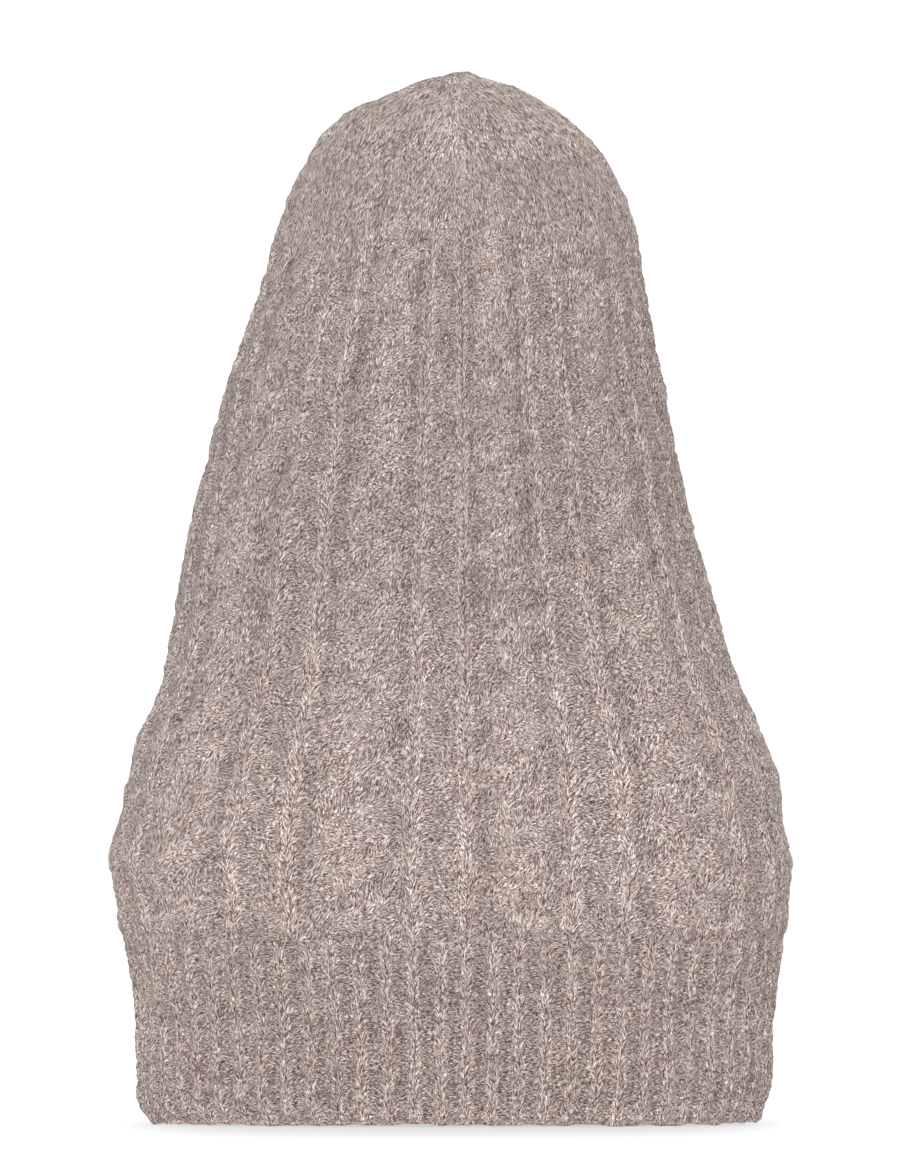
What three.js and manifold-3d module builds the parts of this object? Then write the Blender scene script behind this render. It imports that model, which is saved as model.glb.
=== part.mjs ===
// A cable knit balaclava in thick felted wool, keeping the form that it has when it is worn.
// Millimetres, +Z up. The face opening looks along +Y and the back of the head along -Y.
// The origin is the underside of the crown, where the top of a head meets the knit.

import * as THREE from "three";
import { mergeVertices } from "three/addons/utils/BufferGeometryUtils.js";
import Module from "manifold-3d";

// Driving sizes
const WALL = 5;
const JOINT_GAP = 0.3;
const CROWN_DROP = 55.6;
const HEM_DROP = 345;
const RIM_DROP = 420.4;
const FLARE_DROP = 313.6;
const SQUARENESS = 2.2;

// Levels of the worn form, measured down from the top of the dome.
// left and right are the half-widths seen from behind, back and front the half-depths.
const LEVELS = [
  { drop: 0, left: 0, right: 0, back: 0, front: 0 },
  { drop: 1.6, left: 14.8, right: 16, back: 15, front: 15 },
  { drop: 9.6, left: 34.4, right: 33.6, back: 38, front: 38 },
  { drop: 25.6, left: 54.4, right: 55.2, back: 64, front: 64 },
  { drop: 49.6, left: 67.2, right: 69.2, back: 82, front: 83 },
  { drop: 81.6, left: 76.4, right: 76, back: 92, front: 93 },
  { drop: 113.6, left: 87.6, right: 81.2, back: 94, front: 95 },
  { drop: 129.6, left: 92.8, right: 84.4, back: 93, front: 95 },
  { drop: 177.6, left: 104.8, right: 94.4, back: 83, front: 92 },
  { drop: 209.6, left: 110.8, right: 103.2, back: 77, front: 89 },
  { drop: 225.6, left: 113.6, right: 107.6, back: 77.5, front: 87 },
  { drop: 249.6, left: 118.8, right: 116.8, back: 82, front: 84 },
  { drop: 265.6, left: 126.8, right: 124, back: 86, front: 83 },
  { drop: 281.6, left: 130, right: 129.6, back: 90, front: 83 },
  { drop: 297.6, left: 134, right: 130.8, back: 94, front: 85 },
  { drop: 313.6, left: 138.4, right: 134.8, back: 96, front: 87 },
  { drop: 329.6, left: 134.8, right: 133.2, back: 94.5, front: 87 },
  { drop: 345.6, left: 132.4, right: 131.6, back: 91.5, front: 85 },
  { drop: 377.6, left: 127.2, right: 127.2, back: 86, front: 81 },
  { drop: 401.6, left: 126.8, right: 127.2, back: 84.6, front: 79.6 },
  { drop: 411.6, left: 126, right: 124.6, back: 83.8, front: 78.8 },
  { drop: 420.4, left: 121.2, right: 123.2, back: 82, front: 77 },
];

// The knit round the hood: ten repeats of thirteen stitches.
const STITCHES = 130;
const REPEAT_STITCHES = 13;
const CABLE_PERIOD = 20;
const CABLE_SWELL = 0.9;
const LINING_SINK = 0.6;
const LINING_RINGS = 9;

// One repeat: two rib ridges with plain stitches between, then a cable between two purl valleys.
// rise is the height against the outer form, twist the place of the strand in the cable's turn.
const REPEAT = [
  { stitch: 0, rise: 0, twist: null },
  { stitch: 2, rise: -1.3, twist: null },
  { stitch: 4, rise: 0, twist: null },
  { stitch: 5.2, rise: -2.4, twist: null },
  { stitch: 7, rise: -0.9, twist: 0 },
  { stitch: 8.6, rise: -0.6, twist: 0.25 },
  { stitch: 10.2, rise: -0.9, twist: 0.5 },
  { stitch: 11.9, rise: -2.4, twist: null },
];

// Rib ridges that stand on the back, as a share of the half-width there.
const BACK_RIDGES = [
  { stitch: 0, across: -0.657 },
  { stitch: 4, across: -0.485 },
  { stitch: 13, across: -0.127 },
  { stitch: 17, across: 0.04 },
  { stitch: 26, across: 0.347 },
  { stitch: 30, across: 0.52 },
  { stitch: 39, across: 0.845 },
];

// The soft crease across the nape
const CREASE = { drop: 213, depth: 2.6, height: 7, halfWidth: 42 };

// The crown's gathered nub and its four decrease lines
const NUB = { x: 3.6, radius: 4.6, height: 2.8 };
const CROWN_COLUMNS = 48;
const DECREASE_LINES = 4;
const DECREASE_RISE = 1;
const DECREASE_SHARPNESS = 12;
const DECREASE_FADE_DROP = 12;
const CROWN_RINGS = [0.5, 1.6, 4.5, 9.6, 17, 26, 36, 46];
const CROWN_LINING_RINGS = [44, 28, 14, 5];

// The ribbed hem. Its profile runs down the outside, round the rolled edge and up the inside:
// down is the share of the way from its top to its rim, depth the distance under the form,
// and groove the share of the rib's groove that is pressed in there.
const HEM_RIBS = 65;
const HEM_GROOVE = 1.8;
const HEM_PROFILE = [
  { down: 0, depth: 1, groove: 0.3 },
  { down: 0.12, depth: 0.2, groove: 1 },
  { down: 0.5, depth: 0, groove: 1 },
  { down: 0.9, depth: 0, groove: 1 },
  { down: 0.975, depth: 0.7, groove: 0.7 },
  { down: 1, depth: 1.7, groove: 0.3 },
  { down: 1, depth: 4.3, groove: 0 },
  { down: 0.5, depth: WALL, groove: 0 },
  { down: 0, depth: WALL, groove: 0 },
];

// The oval cut for the face, and the ribbed band that is knitted onto its edge. The band's
// profile runs from the cut to its free edge outside, and back inside: inward is the share of
// the band's width, depth the share of the wall.
const FACE = { z: -143, halfWidth: 72, halfHeight: 83 };
const FACE_CUT = { from: 25, to: 125 };
const BAND = { side: 15, end: 17, ribs: 48, groove: 1.4 };
const BAND_PROFILE = [
  { inward: 0, depth: 0.2, groove: 0.6 },
  { inward: 0.45, depth: 0.05, groove: 1 },
  { inward: 0.88, depth: 0.1, groove: 1 },
  { inward: 1, depth: 0.5, groove: 0 },
  { inward: 0.88, depth: 1, groove: 0 },
  { inward: 0, depth: 1.05, groove: 0 },
];

const FULL_TURN = 2 * Math.PI;
const WOOL = 0xa89a93;

// The levels are spread by the square root of their drop, which makes the dome's top round.
const ROOTS = LEVELS.map((level) => Math.sqrt(level.drop));

// Half-width or half-depth of the form at one drop, smooth through the levels.
function reach(side, drop) {
  const last = LEVELS.length - 1;
  const root = Math.sqrt(Math.max(drop, 0));
  const beyond = ROOTS.findIndex((value) => value > root);
  const row = beyond < 0 ? last - 1 : Math.max(beyond - 1, 0);
  const slope = (at) => {
    const low = Math.max(at - 1, 0);
    const high = Math.min(at + 1, last);
    return (LEVELS[high][side] - LEVELS[low][side]) / (ROOTS[high] - ROOTS[low]);
  };
  const span = ROOTS[row + 1] - ROOTS[row];
  const t = (root - ROOTS[row]) / span;
  const startWeight = 2 * t ** 3 - 3 * t ** 2 + 1;
  const startPull = t ** 3 - 2 * t ** 2 + t;
  const endPull = t ** 3 - t ** 2;
  return startWeight * LEVELS[row][side] + (1 - startWeight) * LEVELS[row + 1][side]
    + span * (startPull * slope(row) + endPull * slope(row + 1));
}

function roundedShare(value) {
  return Math.sign(value) * Math.abs(value) ** (2 / SQUARENESS);
}

// A point of the outer form. turn runs anticlockwise from +X, seen from above.
function formPoint(drop, turn) {
  const across = Math.cos(turn);
  const deep = Math.sin(turn);
  const x = roundedShare(across) * reach(across > 0 ? "right" : "left", drop);
  const y = roundedShare(deep) * reach(deep > 0 ? "front" : "back", drop);
  return new THREE.Vector3(x, y, WALL - drop);
}

function formNormal(drop, turn) {
  const turnStep = 0.02;
  const dropStep = 0.5;
  const round = formPoint(drop, turn + turnStep).sub(formPoint(drop, turn - turnStep));
  const upper = formPoint(Math.max(drop - dropStep, 0), turn);
  const down = formPoint(drop + dropStep, turn).sub(upper);
  return down.cross(round).normalize();
}

// The point that lies rise above the form, or below it where rise is negative.
function risenPoint(drop, turn, rise) {
  return formPoint(drop, turn).addScaledVector(formNormal(drop, turn), rise);
}

// The same, but kept at the form's own level, for the flat edges of a piece.
function levelPoint(drop, turn, rise) {
  const point = risenPoint(drop, turn, rise);
  point.z = WALL - drop;
  return point;
}

// Distances round the form at one drop, to spread stitches evenly over it.
function girth(drop) {
  const samples = 720;
  const lengths = [0];
  for (let i = 1; i <= samples; i += 1) {
    const before = formPoint(drop, ((i - 1) * FULL_TURN) / samples);
    const after = formPoint(drop, (i * FULL_TURN) / samples);
    lengths.push(lengths[i - 1] + after.distanceTo(before));
  }
  const total = lengths[samples];
  const lengthAt = (turn) => {
    const laps = Math.floor(turn / FULL_TURN);
    const place = (turn / FULL_TURN - laps) * samples;
    const low = Math.floor(place);
    const high = Math.min(low + 1, samples);
    return laps * total + lengths[low] + (place - low) * (lengths[high] - lengths[low]);
  };
  const turnAt = (length) => {
    const laps = Math.floor(length / total);
    const rest = length - laps * total;
    const high = Math.max(lengths.findIndex((value) => value >= rest), 1);
    const share = (rest - lengths[high - 1]) / (lengths[high] - lengths[high - 1]);
    return laps * FULL_TURN + ((high - 1 + share) * FULL_TURN) / samples;
  };
  return { total, lengthAt, turnAt };
}

const flareGirth = girth(FLARE_DROP);
const hemGirth = girth((HEM_DROP + RIM_DROP) / 2);

// The turn at which a stitch stands: ridges on the back where they are charted, and even steps
// between them and round the front.
function turnOfStitch(stitch) {
  const anchors = BACK_RIDGES.map((ridge) => {
    const share = Math.sign(ridge.across) * Math.abs(ridge.across) ** (SQUARENESS / 2);
    return { stitch: ridge.stitch, length: flareGirth.lengthAt(-Math.acos(share)) };
  });
  const first = anchors[0];
  anchors.push({ stitch: first.stitch + STITCHES, length: first.length + flareGirth.total });
  const next = anchors.findIndex((anchor) => anchor.stitch > stitch);
  const low = anchors[next - 1];
  const high = anchors[next];
  const share = (stitch - low.stitch) / (high.stitch - low.stitch);
  return flareGirth.turnAt(low.length + share * (high.length - low.length));
}

// Joins loops of points into one closed skin. Loops run down the outside and up the inside.
// A loop of one point closes the skin at a pole, otherwise the last loop meets the first.
function closedSkin(loops) {
  const positions = loops.flat().flatMap((point) => point.toArray());
  const starts = [];
  let count = 0;
  for (const loop of loops) {
    starts.push(count);
    count += loop.length;
  }
  const index = [];
  const hasPoles = loops[0].length === 1;
  const strips = hasPoles ? loops.length - 1 : loops.length;
  for (let k = 0; k < strips; k += 1) {
    const next = (k + 1) % loops.length;
    const columns = Math.max(loops[k].length, loops[next].length);
    for (let i = 0; i < columns; i += 1) {
      const j = (i + 1) % columns;
      const a = starts[k] + (loops[k].length === 1 ? 0 : i);
      const b = starts[next] + (loops[next].length === 1 ? 0 : i);
      const c = starts[next] + (loops[next].length === 1 ? 0 : j);
      const d = starts[k] + (loops[k].length === 1 ? 0 : j);
      if (b !== c) index.push(a, b, c);
      if (a !== d) index.push(a, c, d);
    }
  }
  const geometry = new THREE.BufferGeometry();
  geometry.setAttribute("position", new THREE.Float32BufferAttribute(positions, 3));
  geometry.setIndex(index);
  return geometry;
}

function evenlySpaced(from, to, steps) {
  return Array.from({ length: steps + 1 }, (_, i) => from + ((to - from) * i) / steps);
}

function piece(name, geometry) {
  geometry.computeVertexNormals();
  const material = new THREE.MeshStandardMaterial({ color: WOOL, roughness: 0.95, metalness: 0 });
  const mesh = new THREE.Mesh(geometry, material);
  mesh.name = name;
  return mesh;
}

// The crown: a dome with a gathered nub on top and four decrease lines running up to it.
function crownGeometry() {
  const turns = evenlySpaced(0, FULL_TURN, CROWN_COLUMNS).slice(0, CROWN_COLUMNS);
  const bottom = CROWN_DROP - JOINT_GAP / 2;
  const nubLift = (point) => {
    const away = Math.hypot(point.x - NUB.x, point.y);
    return NUB.height * Math.exp(-((away / NUB.radius) ** 2));
  };
  const outer = (drop, turn) => {
    const line = Math.cos((DECREASE_LINES * (turn + Math.PI / 2)) / 2) ** DECREASE_SHARPNESS;
    const fade = Math.min(drop / DECREASE_FADE_DROP, 1);
    const point = risenPoint(drop, turn, fade * DECREASE_RISE * (line - 1));
    point.z += nubLift(point);
    return point;
  };
  const apex = new THREE.Vector3(0, 0, WALL);
  apex.z += nubLift(apex);
  const outerLoops = CROWN_RINGS.map((drop) => turns.map((turn) => outer(drop, turn)));
  outerLoops.push(turns.map((turn) => levelPoint(bottom, turn, -DECREASE_RISE)));
  const innerLoops = [turns.map((turn) => levelPoint(bottom, turn, -WALL))];
  for (const drop of CROWN_LINING_RINGS) {
    innerLoops.push(turns.map((turn) => risenPoint(drop, turn, -WALL)));
  }
  return closedSkin([[apex], ...outerLoops, ...innerLoops, [new THREE.Vector3(0, 0, 0)]]);
}

// How deep the nape's crease is at a point of the back.
function creaseDepth(drop, point) {
  if (point.y > 0) return 0;
  const down = (drop - CREASE.drop) / CREASE.height;
  const side = point.x / CREASE.halfWidth;
  return CREASE.depth * Math.exp(-(down ** 2) - side ** 4);
}

// The hood: ribs and cables from the crown to the hem, before the face is cut out of it.
function hoodGeometry() {
  const top = CROWN_DROP + JOINT_GAP / 2;
  const bottom = HEM_DROP - JOINT_GAP / 2;
  const columns = [];
  for (let start = 0; start < STITCHES; start += REPEAT_STITCHES) {
    for (const row of REPEAT) {
      columns.push({ ...row, turn: turnOfStitch(start + row.stitch) });
    }
  }
  const ring = (drop, riseOf) => columns.map((column) => {
    const place = drop === top || drop === bottom ? levelPoint : risenPoint;
    const crease = creaseDepth(drop, formPoint(drop, column.turn));
    return place(drop, column.turn, riseOf(column) - crease);
  });
  const swell = (drop, twist) => (
    twist === null ? 0 : CABLE_SWELL * Math.cos(FULL_TURN * (drop / CABLE_PERIOD + twist))
  );
  const rings = Math.round((bottom - top) / (CABLE_PERIOD / 2));
  const outerLoops = evenlySpaced(top, bottom, rings).map((drop) => (
    ring(drop, (column) => column.rise + swell(drop, column.twist))
  ));
  const innerLoops = evenlySpaced(bottom, top, LINING_RINGS).map((drop) => (
    ring(drop, () => -WALL - LINING_SINK)
  ));
  return closedSkin([...outerLoops, ...innerLoops]);
}

// The oval of the face opening, as points of the XZ plane. inset pulls it in from the cut.
function faceOval(angle, insetSide, insetEnd) {
  const x = (FACE.halfWidth - insetSide) * Math.cos(angle);
  const z = FACE.z + (FACE.halfHeight - insetEnd) * Math.sin(angle);
  return { x, z };
}

function faceAngles() {
  const columns = 2 * BAND.ribs;
  return evenlySpaced(0, FULL_TURN, columns).slice(0, columns);
}

// A prism along Y through the front wall, with the oval as its section.
function faceCutter() {
  const outline = faceAngles().map((angle) => {
    const { x, z } = faceOval(angle, 0, 0);
    return new THREE.Vector2(x, -z);
  });
  const depth = FACE_CUT.to - FACE_CUT.from;
  const prism = new THREE.ExtrudeGeometry(new THREE.Shape(outline), { depth, bevelEnabled: false });
  prism.rotateX(-Math.PI / 2);
  prism.translate(0, FACE_CUT.from, 0);
  return prism;
}

// The front of the form over a point of the XZ plane, and how steeply it faces +Y there.
function frontSurface(x, z) {
  const height = (at, level) => {
    const drop = WALL - level;
    const half = reach(at > 0 ? "right" : "left", drop);
    return reach("front", drop) * (1 - Math.abs(at / half) ** SQUARENESS) ** (1 / SQUARENESS);
  };
  const step = 0.5;
  const y = height(x, z);
  const slopeX = (height(x + step, z) - height(x - step, z)) / (2 * step);
  const slopeZ = (height(x, z + step) - height(x, z - step)) / (2 * step);
  return { y, steep: Math.hypot(1, slopeX, slopeZ) };
}

// The ribbed band round the face: ribs run across it, and its free edge is rolled.
function faceBandGeometry() {
  const loops = BAND_PROFILE.map((row) => faceAngles().map((angle, i) => {
    const side = JOINT_GAP + row.inward * (BAND.side - JOINT_GAP);
    const end = JOINT_GAP + row.inward * (BAND.end - JOINT_GAP);
    const { x, z } = faceOval(angle, side, end);
    const { y, steep } = frontSurface(x, z);
    const groove = i % 2 === 0 ? 0 : BAND.groove * row.groove;
    return new THREE.Vector3(x, y - (WALL * row.depth + groove) * steep, z);
  }));
  return closedSkin(loops);
}

// The ribbed hem: one knit and one purl stitch in turn, with a rolled lower edge on a flat rim.
function hemGeometry() {
  const columns = 2 * HEM_RIBS;
  const top = HEM_DROP + JOINT_GAP / 2;
  const turns = Array.from({ length: columns }, (_, i) => (
    hemGirth.turnAt((hemGirth.total * i) / columns)
  ));
  return closedSkin(HEM_PROFILE.map((row) => turns.map((turn, i) => {
    const groove = i % 2 === 0 ? 0 : HEM_GROOVE * row.groove;
    return levelPoint(top + row.down * (RIM_DROP - top), turn, -row.depth - groove);
  })));
}

const wasm = await Module();
wasm.setup();

function toSolid(geometry) {
  const bare = geometry.clone();
  bare.deleteAttribute("normal");
  bare.deleteAttribute("uv");
  const merged = mergeVertices(bare, 1e-4);
  return new wasm.Manifold(new wasm.Mesh({
    numProp: 3,
    vertProperties: new Float32Array(merged.attributes.position.array),
    triVerts: new Uint32Array(merged.index.array),
  }));
}

function toGeometry(solid) {
  const mesh = solid.getMesh();
  const geometry = new THREE.BufferGeometry();
  geometry.setAttribute("position", new THREE.BufferAttribute(mesh.vertProperties, 3));
  geometry.setIndex(new THREE.BufferAttribute(mesh.triVerts, 1));
  return geometry;
}

const hood = toSolid(hoodGeometry()).subtract(toSolid(faceCutter()));

const balaclava = new THREE.Group();
balaclava.add(piece("crown", crownGeometry()));
balaclava.add(piece("hood", toGeometry(hood)));
balaclava.add(piece("face_rib", faceBandGeometry()));
balaclava.add(piece("hem_rib", hemGeometry()));

export default balaclava;
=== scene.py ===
"""A cable knit balaclava in thick felted wool, dressed over its solid frame.

Lengths are in millimetres up to the moment a mesh is made, then in metres.
The face opening looks along +Y, and the camera sees the back of the hood, as the photograph does.
"""

import math

import bmesh
import bpy
import numpy as np
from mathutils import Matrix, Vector


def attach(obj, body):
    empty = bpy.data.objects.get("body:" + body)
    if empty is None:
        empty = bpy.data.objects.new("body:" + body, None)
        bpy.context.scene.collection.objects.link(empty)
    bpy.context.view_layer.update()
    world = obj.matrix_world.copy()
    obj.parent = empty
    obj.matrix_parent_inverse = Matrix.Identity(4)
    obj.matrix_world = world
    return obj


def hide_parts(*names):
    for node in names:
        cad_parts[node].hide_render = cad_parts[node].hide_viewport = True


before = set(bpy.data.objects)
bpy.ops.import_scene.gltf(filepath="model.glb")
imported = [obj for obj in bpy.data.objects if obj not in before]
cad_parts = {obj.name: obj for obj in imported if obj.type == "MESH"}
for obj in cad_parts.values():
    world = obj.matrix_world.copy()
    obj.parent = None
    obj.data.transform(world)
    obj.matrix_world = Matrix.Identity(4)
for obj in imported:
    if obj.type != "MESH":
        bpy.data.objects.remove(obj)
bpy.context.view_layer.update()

MM = 0.001
FULL_TURN = 2 * math.pi

# The worn form
WALL = 5.0
SQUARENESS = 2.2
CROWN_DROP = 55.6
HEM_DROP = 345.0
RIM_DROP = 420.4
FLARE_DROP = 313.6

# Levels of the form below the top of the dome: half-widths seen from behind, and half-depths
LEVEL_COLUMNS = ("drop", "left", "right", "back", "front")
LEVELS = np.array([
    (0, 0, 0, 0, 0),
    (1.6, 13.4, 15, 15, 15),
    (3.6, 18.6, 20, 22.5, 22.5),
    (9.6, 33.8, 33.6, 38, 38),
    (16, 44.3, 44.4, 50, 50),
    (25.6, 53.4, 55.4, 64, 64),
    (49.6, 66.6, 69.2, 82, 83),
    (81.6, 75.4, 76.8, 92, 93),
    (113.6, 87.4, 81, 94, 95),
    (129.6, 92.8, 84.2, 93, 95),
    (153.6, 97.6, 90.2, 88.5, 94),
    (177.6, 104.2, 94.8, 83, 92),
    (209.6, 109.8, 104.2, 77, 89),
    (225.6, 113, 107.8, 77.5, 87),
    (249.6, 119, 116.4, 82, 84),
    (265.6, 126.8, 124, 86, 83),
    (281.6, 130, 129.8, 90, 83),
    (297.6, 133.6, 131.2, 94, 85),
    (313.6, 138, 135.4, 96, 87),
    (329.6, 134.8, 133.6, 94.5, 87),
    (345.6, 133.4, 132, 91.5, 85),
    (377.6, 127.6, 128.8, 86, 81),
    (401.6, 126.8, 128.4, 84.6, 79.6),
    (411.6, 125.6, 125.4, 83.8, 78.8),
    (420.4, 117.5, 122.6, 82, 77),
])
ROOTS = np.sqrt(LEVELS[:, 0])

# The knit: ten repeats of thirteen stitches, counted round the hood, and rows counted upwards
STITCHES = 130
REPEAT = 13
FIRST_STITCH = -45
WHOLE_STITCHES = FIRST_STITCH + np.arange(STITCHES)
ROW = 4.0
STITCH = 5.4
RINGS_PER_ROW = 3

# A repeat, in stitches: rib stitches at 0 and at 4, then the cable, with the rows of its turn
SECOND_RIB = 4
RIB_HALF = 1.25
BROAD_RIB = 1.05
NARROW_RIB = 0.75
CABLE_MIDDLE = 8.5
CABLE_HALF = 3.4
CABLE_START = CABLE_MIDDLE - CABLE_HALF
CABLE_ROWS = 5

# The two legs of a knit stitch, in stitches and rows, and leans in radians
LEG_PLACE = 0.36
LEG_HALF = 0.32
LEG_RISE = 2.1
LEG_LEAN = 0.52
CHEVRON_LEAN = 0.45

# Heights of the knit against the form
RIB_BED = -0.9
CABLE_BED = -1.2
RIB_HEIGHT = 0.6
ROPE_HEIGHT = 1.55
PIT_DEPTH = 1.3
PLAIN_BED = -1.0
CHEVRON_SWELL = 0.5
DECREASE_SWELL = 0.6
HEM_SWELL = 0.12
HEM_JOIN = -1.1
HEM_BED = -1.85
HEM_RIB_HEIGHT = 0.8

# The soft crease across the nape
CREASE_DROP = 213
CREASE_HALF_HEIGHT = 7
CREASE_HALF_WIDTH = 42
CREASE_DEPTH = 2.6

# The gathered nub on top
NUB_ASIDE = 3.6
NUB_SPREAD = 4.6
NUB_HEIGHT = 2.8
NUB_PLEATS = 9

# Rib ridges that stand on the back: stitch number and share of the half-width
BACK_RIDGES = (
    (0, -0.657),
    (4, -0.485),
    (13, -0.127),
    (17, 0.04),
    (26, 0.347),
    (30, 0.52),
    (39, 0.845),
)

# The face opening and its band
FACE_Z = -143.0
FACE_HALF_WIDTH = 72.0
FACE_HALF_HEIGHT = 83.0
BAND_SIDE = 15.0
BAND_END = 17.0
BAND_GAP = 0.3
BAND_RIBS = 48
BAND_RELIEF = 1.5
BAND_ROW_SHARE = 1.3

# Rows of the band: share of the way in from the cut, depth under the form, share of the relief
BAND_ROWS = (
    (-0.06, 1.6, 0.3),
    (0.0, 0.3, 0.7),
    *((share, -0.6, 1.0) for share in np.linspace(0.06, 0.92, 18)),
    (0.98, 0.3, 0.8),
    (1.02, 1.5, 0.5),
    (1.03, 2.8, 0.3),
    (1.0, 4.2, 0.2),
    (0.94, 5.2, 0),
    *((share, 5.4, 0.0) for share in np.linspace(0.85, 0.0, 8)),
)

# The hem, and the steps of its rolled edge: how far down and in each lies from the outside's last ring
HEM_RIBS = 65
HEM_RINGS = 66
ROLL_START = RIM_DROP - 3.9
ROLL_STEPS = (
    (1.3, 0.5),
    (2.2, 1.4),
    (2.6, 2.6),
    (2.2, 3.8),
    (1.0, 4.6),
)


def smooth_step(low, high, value):
    share = np.clip((value - low) / (high - low), 0, 1)
    return share * share * (3 - 2 * share)


# The form as formulas


def reach(side, drop):
    """Half-width or half-depth at a drop, smooth through the levels."""
    sizes = LEVELS[:, LEVEL_COLUMNS.index(side)]
    slopes = np.empty(len(sizes))
    slopes[1:-1] = (sizes[2:] - sizes[:-2]) / (ROOTS[2:] - ROOTS[:-2])
    slopes[0] = (sizes[1] - sizes[0]) / (ROOTS[1] - ROOTS[0])
    slopes[-1] = (sizes[-1] - sizes[-2]) / (ROOTS[-1] - ROOTS[-2])
    root = np.sqrt(np.maximum(drop, 0))
    row = np.clip(np.searchsorted(ROOTS, root, side="right") - 1, 0, len(sizes) - 2)
    span = ROOTS[row + 1] - ROOTS[row]
    t = (root - ROOTS[row]) / span
    start = 2 * t**3 - 3 * t**2 + 1
    pull = (t**3 - 2 * t**2 + t) * slopes[row] + (t**3 - t**2) * slopes[row + 1]
    return start * sizes[row] + (1 - start) * sizes[row + 1] + span * pull


def rounded(value):
    return np.sign(value) * np.abs(value) ** (2 / SQUARENESS)


def form_point(drop, turn):
    """Points of the outer form. turn runs anticlockwise from +X, seen from above."""
    drop, turn = np.broadcast_arrays(np.asarray(drop, float), np.asarray(turn, float))
    across = np.cos(turn)
    deep = np.sin(turn)
    half_width = np.where(across > 0, reach("right", drop), reach("left", drop))
    half_depth = np.where(deep > 0, reach("front", drop), reach("back", drop))
    return np.stack([rounded(across) * half_width, rounded(deep) * half_depth, WALL - drop], -1)


def unit(vectors):
    return vectors / np.maximum(np.linalg.norm(vectors, axis=-1, keepdims=True), 1e-9)


def form_axes(drop, turn):
    """Directions at a point of the form: round it, up it, and out of it."""
    turn_step = 0.02
    drop_step = 0.5
    round_it = unit(form_point(drop, turn + turn_step) - form_point(drop, turn - turn_step))
    higher = form_point(np.maximum(drop - drop_step, 0), turn)
    up_it = unit(higher - form_point(drop + drop_step, turn))
    return round_it, up_it, unit(np.cross(round_it, up_it))


class Girth:
    """Distances round the form at one drop, to spread stitches evenly."""

    def __init__(self, drop, samples=1440):
        self.turns = np.linspace(0, FULL_TURN, samples + 1)
        points = form_point(drop, self.turns)
        steps = np.linalg.norm(np.diff(points, axis=0), axis=1)
        self.lengths = np.concatenate([[0], np.cumsum(steps)])
        self.total = self.lengths[-1]

    def length_at(self, turn):
        laps = np.floor(turn / FULL_TURN)
        return laps * self.total + np.interp(turn - laps * FULL_TURN, self.turns, self.lengths)

    def turn_at(self, length):
        laps = np.floor(length / self.total)
        return laps * FULL_TURN + np.interp(length - laps * self.total, self.lengths, self.turns)


GIRTH_DROPS = np.linspace(1, RIM_DROP, 60)
GIRTHS = np.array([Girth(drop, samples=120).total for drop in GIRTH_DROPS])
flare_girth = Girth(FLARE_DROP)
hem_girth = Girth((HEM_DROP + RIM_DROP) / 2)


def ridge_length(across):
    share = math.copysign(abs(across) ** (SQUARENESS / 2), across)
    return float(flare_girth.length_at(-math.acos(share)))


def turn_of_stitch(stitch):
    """Ridges of the back stand where they are charted, and stitches are even between them."""
    numbers = [number for number, _ in BACK_RIDGES]
    lengths = [ridge_length(across) for _, across in BACK_RIDGES]
    numbers.append(numbers[0] + STITCHES)
    lengths.append(lengths[0] + flare_girth.total)
    laps = np.floor((stitch - numbers[0]) / STITCHES)
    place = np.interp(stitch - laps * STITCHES, numbers, lengths)
    return flare_girth.turn_at(place + laps * flare_girth.total)


# Soft unevenness of a felted cloth, as a sum of seeded waves


class Waves:
    def __init__(self, seed, wavelength, count=14):
        chance = np.random.default_rng(seed)
        directions = unit(chance.normal(size=(count, 3)))
        lengths = wavelength * chance.uniform(0.7, 1.6, size=(count, 1))
        self.pulls = FULL_TURN * directions / lengths
        self.starts = chance.uniform(0, FULL_TURN, size=count)
        self.scale = math.sqrt(2 / count)

    def at(self, points):
        return self.scale * np.sin(points @ self.pulls.T + self.starts).sum(-1)


big_folds = Waves(seed=3, wavelength=70)
lumps = Waves(seed=5, wavelength=22)
pills = Waves(seed=8, wavelength=7)
tufts = Waves(seed=13, wavelength=3.4)
curls = Waves(seed=21, wavelength=10)
UNEVENNESS = ((0.55, big_folds), (0.35, lumps), (0.2, pills), (0.1, tufts))


def uneven(points):
    """Height that the felting adds to the form at some points."""
    return sum(height * waves.at(points) for height, waves in UNEVENNESS)


# Relief of the knit


def stitch_legs(side, row):
    """The two slanting legs of a knit stitch, from 0 between them to 1 on top."""
    leg = 1 - np.minimum(np.abs(np.abs(side) - LEG_PLACE) / LEG_HALF, 1) ** 2
    along = (row - LEG_RISE * np.abs(side)) % 1.0
    return leg * (0.15 + 0.85 * np.sin(np.pi * along))


def ridge_profile(away, half_width):
    return np.clip(1 - (away / half_width) ** 2, 0, 1)


def rib_place(stitch):
    """Signed distance, in stitches, of a place of the repeat from its nearest rib."""
    place = stitch % REPEAT
    offsets = np.stack([place, place - SECOND_RIB, place - REPEAT])
    nearest = np.abs(offsets).argmin(0)
    return np.take_along_axis(offsets, nearest[None], 0)[0]


def section_place(turn):
    """Place in a quarter of the crown, from -1 to 1 between two decrease lines."""
    return (turn / (math.pi / 2)) % 1 * 2 - 1


def cable_start(turn):
    """Cables end in a chevron under each decrease line, lowest in the middle of a quarter."""
    return CROWN_DROP - 4 + 20 * (1 - np.abs(section_place(turn))) ** 0.7 + 4 * np.sin(11 * turn)


def cable_strength(turn, drop):
    start = cable_start(turn)
    return smooth_step(start - 5, start + 14, drop)


def crowding(drop):
    """How often the chart's stitches have been halved, in whole and part steps, towards the top."""
    return np.log2(STITCHES * STITCH / np.interp(drop, GIRTH_DROPS, GIRTHS)) + 0.25


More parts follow.
